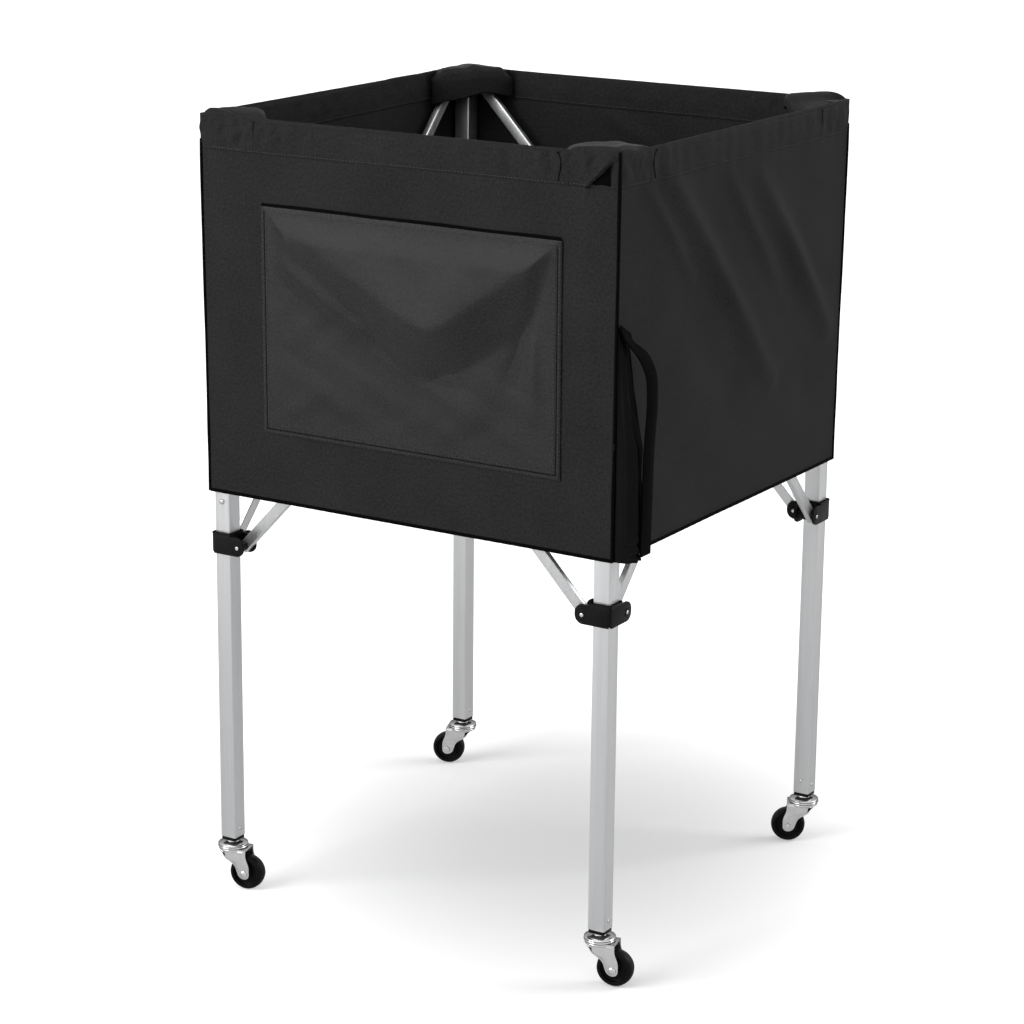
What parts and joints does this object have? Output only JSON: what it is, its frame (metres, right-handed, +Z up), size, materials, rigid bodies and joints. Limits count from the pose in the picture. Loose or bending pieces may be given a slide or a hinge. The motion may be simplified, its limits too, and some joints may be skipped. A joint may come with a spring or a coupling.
{
  "type": "ball cart",
  "caption": "folding ball cart: open square fabric bag hung round a square-tube frame with crossed side bars, sliding collars and swivel casters; folds sideways and front to back",
  "frame": {"origin": "on the floor under the middle of the four legs", "axes": "+Z up, -Y the front with the pocket, +X the right side seen from the front"},
  "size_m": [0.6322, 0.5856, 0.9995],
  "materials": {
    "aluminium_tube": "satin drawn tube",
    "plated_steel": "bright zinc plating",
    "black_moulding": "satin black moulded nylon",
    "wheel_rubber": "smooth black tread",
    "bag_cloth": "charcoal woven polyester",
    "pocket_cloth": "charcoal woven polyester, stitched flat",
    "black_webbing": "black ribbed webbing"
  },
  "bodies": {
    "frame_front_left": {"leg_front_left": "aluminium_tube", "top_bracket_front_left": "black_moulding", "caster_plug_front_left": "black_moulding", "swivel_race_front_left": "plated_steel", "corner_cap_front_left": "bag_cloth", "front_panel": "bag_cloth", "left_panel": "bag_cloth", "front_pocket": "pocket_cloth"},
    "frame_front_right": {"leg_front_right": "aluminium_tube", "top_bracket_front_right": "black_moulding", "caster_plug_front_right": "black_moulding", "swivel_race_front_right": "plated_steel", "corner_cap_front_right": "bag_cloth", "right_panel": "bag_cloth", "corner_gusset": "black_webbing", "carry_strap": "black_webbing"},
    "frame_rear_right": {"leg_rear_right": "aluminium_tube", "top_bracket_rear_right": "black_moulding", "caster_plug_rear_right": "black_moulding", "swivel_race_rear_right": "plated_steel", "corner_cap_rear_right": "bag_cloth"},
    "frame_rear_left": {"leg_rear_left": "aluminium_tube", "top_bracket_rear_left": "black_moulding", "caster_plug_rear_left": "black_moulding", "swivel_race_rear_left": "plated_steel", "corner_cap_rear_left": "bag_cloth", "rear_panel": "bag_cloth"},
    "front_outer": {"front_outer_bar": "aluminium_tube", "front_centre_rivet": "plated_steel"},
    "front_inner": {"front_inner_bar": "aluminium_tube"},
    "right_outer": {"right_outer_bar": "aluminium_tube", "right_centre_rivet": "plated_steel"},
    "right_inner": {"right_inner_bar": "aluminium_tube"},
    "rear_outer": {"rear_outer_bar": "aluminium_tube"},
    "rear_inner": {"rear_inner_bar": "aluminium_tube", "rear_centre_rivet": "plated_steel"},
    "left_outer": {"left_outer_bar": "aluminium_tube"},
    "left_inner": {"left_inner_bar": "aluminium_tube", "left_centre_rivet": "plated_steel"},
    "collar_front_left": {"sliding_collar_front_left": "black_moulding"},
    "swivel_front_left": {"caster_fork_front_left": "plated_steel", "axle_front_left": "plated_steel"},
    "wheel_front_left": {"wheel_front_left": "wheel_rubber"},
    "collar_front_right": {"sliding_collar_front_right": "black_moulding"},
    "swivel_front_right": {"caster_fork_front_right": "plated_steel", "axle_front_right": "plated_steel"},
    "wheel_front_right": {"wheel_front_right": "wheel_rubber"},
    "collar_rear_right": {"sliding_collar_rear_right": "black_moulding"},
    "swivel_rear_right": {"caster_fork_rear_right": "plated_steel", "axle_rear_right": "plated_steel"},
    "wheel_rear_right": {"wheel_rear_right": "wheel_rubber"},
    "collar_rear_left": {"sliding_collar_rear_left": "black_moulding"},
    "swivel_rear_left": {"caster_fork_rear_left": "plated_steel", "axle_rear_left": "plated_steel"},
    "wheel_rear_left": {"wheel_rear_left": "wheel_rubber"},
    "floor_front": {"front_floor_half": "bag_cloth"},
    "floor_rear": {"rear_floor_half": "bag_cloth"}
  },
  "joints": [
    {"name": "frame_fold", "type": "hinge", "parent": "frame_front_left", "child": "front_outer", "pos_m": [-0.246, -0.27, 0.9735], "axis": [0, 1, 0], "range_deg": [0, 33], "deforming": ["front_panel", "rear_panel", "left_panel", "right_panel", "front_pocket", "front_floor_half", "rear_floor_half"]},
    {"name": "front_centre_pivot", "type": "hinge", "parent": "front_outer", "child": "front_inner", "pos_m": [0, -0.27, 0.7145], "axis": [0, 1, 0], "range_deg": [-66, 0]},
    {"name": "front_inner_bar_top_pivot", "type": "hinge", "parent": "front_inner", "child": "frame_front_right", "pos_m": [0.246, -0.27, 0.9735], "axis": [0, 1, 0], "range_deg": [0, 33]},
    {"name": "collar_front_right_pivot", "type": "hinge", "parent": "front_outer", "child": "collar_front_right", "pos_m": [0.246, -0.27, 0.4555], "axis": [0, 1, 0], "range_deg": [-33, 0]},
    {"name": "collar_front_left_pivot", "type": "hinge", "parent": "front_inner", "child": "collar_front_left", "pos_m": [-0.246, -0.27, 0.4555], "axis": [0, 1, 0], "range_deg": [0, 33]},
    {"name": "left_inner_bar_top_pivot", "type": "hinge", "parent": "frame_front_left", "child": "left_inner", "pos_m": [-0.27, -0.246, 0.9735], "axis": [-1, 0, 0], "range_deg": [0, 33]},
    {"name": "left_centre_pivot", "type": "hinge", "parent": "left_inner", "child": "left_outer", "pos_m": [-0.27, 0, 0.7145], "axis": [-1, 0, 0], "range_deg": [-66, 0]},
    {"name": "left_outer_bar_top_pivot", "type": "hinge", "parent": "left_outer", "child": "frame_rear_left", "pos_m": [-0.27, 0.246, 0.9735], "axis": [-1, 0, 0], "range_deg": [0, 33]},
    {"name": "collar_rear_left_pivot", "type": "hinge", "parent": "left_inner", "child": "collar_rear_left", "pos_m": [-0.27, 0.246, 0.4555], "axis": [-1, 0, 0], "range_deg": [-33, 0]},
    {"name": "right_outer_bar_top_pivot", "type": "hinge", "parent": "frame_front_right", "child": "right_outer", "pos_m": [0.27, -0.246, 0.9735], "axis": [-1, 0, 0], "range_deg": [0, 33]},
    {"name": "right_centre_pivot", "type": "hinge", "parent": "right_outer", "child": "right_inner", "pos_m": [0.27, 0, 0.7145], "axis": [-1, 0, 0], "range_deg": [-66, 0]},
    {"name": "right_inner_bar_top_pivot", "type": "hinge", "parent": "right_inner", "child": "frame_rear_right", "pos_m": [0.27, 0.246, 0.9735], "axis": [-1, 0, 0], "range_deg": [0, 33]},
    {"name": "collar_rear_right_pivot", "type": "hinge", "parent": "right_outer", "child": "collar_rear_right", "pos_m": [0.27, 0.246, 0.4555], "axis": [-1, 0, 0], "range_deg": [-33, 0]},
    {"name": "rear_inner_bar_top_pivot", "type": "hinge", "parent": "frame_rear_left", "child": "rear_inner", "pos_m": [-0.246, 0.27, 0.9735], "axis": [0, 1, 0], "range_deg": [0, 33]},
    {"name": "rear_centre_pivot", "type": "hinge", "parent": "rear_inner", "child": "rear_outer", "pos_m": [0, 0.27, 0.7145], "axis": [0, 1, 0], "range_deg": [-66, 0]},
    {"name": "front_floor_hinge", "type": "hinge", "parent": "frame_front_left", "child": "floor_front", "pos_m": [0, -0.2817, 0.5265], "axis": [1, 0, 0], "range_deg": [0, 69.3]},
    {"name": "rear_floor_hinge", "type": "hinge", "parent": "frame_rear_left", "child": "floor_rear", "pos_m": [0, 0.2817, 0.5265], "axis": [-1, 0, 0], "range_deg": [0, 87.45]},
    {"name": "swivel_front_left", "type": "hinge", "parent": "frame_front_left", "child": "swivel_front_left", "pos_m": [-0.27, -0.27, 0.0534], "axis": [0, 0, 1], "continuous": true},
    {"name": "wheel_spin_front_left", "type": "hinge", "parent": "swivel_front_left", "child": "wheel_front_left", "pos_m": [-0.25044, -0.26584, 0.0225], "axis": [-0.2079, 0.9781, 0], "continuous": true},
    {"name": "swivel_front_right", "type": "hinge", "parent": "frame_front_right", "child": "swivel_front_right", "pos_m": [0.27, -0.27, 0.0534], "axis": [0, 0, 1], "continuous": true},
    {"name": "wheel_spin_front_right", "type": "hinge", "parent": "swivel_front_right", "child": "wheel_front_right", "pos_m": [0.28956, -0.26584, 0.0225], "axis": [-0.2079, 0.9781, 0], "continuous": true},
    {"name": "swivel_rear_right", "type": "hinge", "parent": "frame_rear_right", "child": "swivel_rear_right", "pos_m": [0.27, 0.27, 0.0534], "axis": [0, 0, 1], "continuous": true},
    {"name": "wheel_spin_rear_right", "type": "hinge", "parent": "swivel_rear_right", "child": "wheel_rear_right", "pos_m": [0.25202, 0.26123, 0.0225], "axis": [0.4384, -0.8988, 0], "continuous": true},
    {"name": "swivel_rear_left", "type": "hinge", "parent": "frame_rear_left", "child": "swivel_rear_left", "pos_m": [-0.27, 0.27, 0.0534], "axis": [0, 0, 1], "continuous": true},
    {"name": "wheel_spin_rear_left", "type": "hinge", "parent": "swivel_rear_left", "child": "wheel_rear_left", "pos_m": [-0.28879, 0.26316, 0.0225], "axis": [0.342, -0.9397, 0], "continuous": true}
  ],
  "couplings": [
    {"joint": "front_centre_pivot", "follows": "frame_fold", "ratio": -2},
    {"joint": "front_inner_bar_top_pivot", "follows": "frame_fold", "ratio": 1},
    {"joint": "collar_front_right_pivot", "follows": "frame_fold", "ratio": -1},
    {"joint": "collar_front_left_pivot", "follows": "frame_fold", "ratio": 1},
    {"joint": "left_inner_bar_top_pivot", "follows": "frame_fold", "ratio": 1},
    {"joint": "left_centre_pivot", "follows": "frame_fold", "ratio": -2},
    {"joint": "left_outer_bar_top_pivot", "follows": "frame_fold", "ratio": 1},
    {"joint": "collar_rear_left_pivot", "follows": "frame_fold", "ratio": -1},
    {"joint": "right_outer_bar_top_pivot", "follows": "frame_fold", "ratio": 1},
    {"joint": "right_centre_pivot", "follows": "frame_fold", "ratio": -2},
    {"joint": "right_inner_bar_top_pivot", "follows": "frame_fold", "ratio": 1},
    {"joint": "collar_rear_right_pivot", "follows": "frame_fold", "ratio": -1},
    {"joint": "rear_inner_bar_top_pivot", "follows": "frame_fold", "ratio": 1},
    {"joint": "rear_centre_pivot", "follows": "frame_fold", "ratio": -2},
    {"joint": "front_floor_hinge", "follows": "frame_fold", "ratio": 2.1},
    {"joint": "rear_floor_hinge", "follows": "frame_fold", "ratio": 2.65}
  ]
}
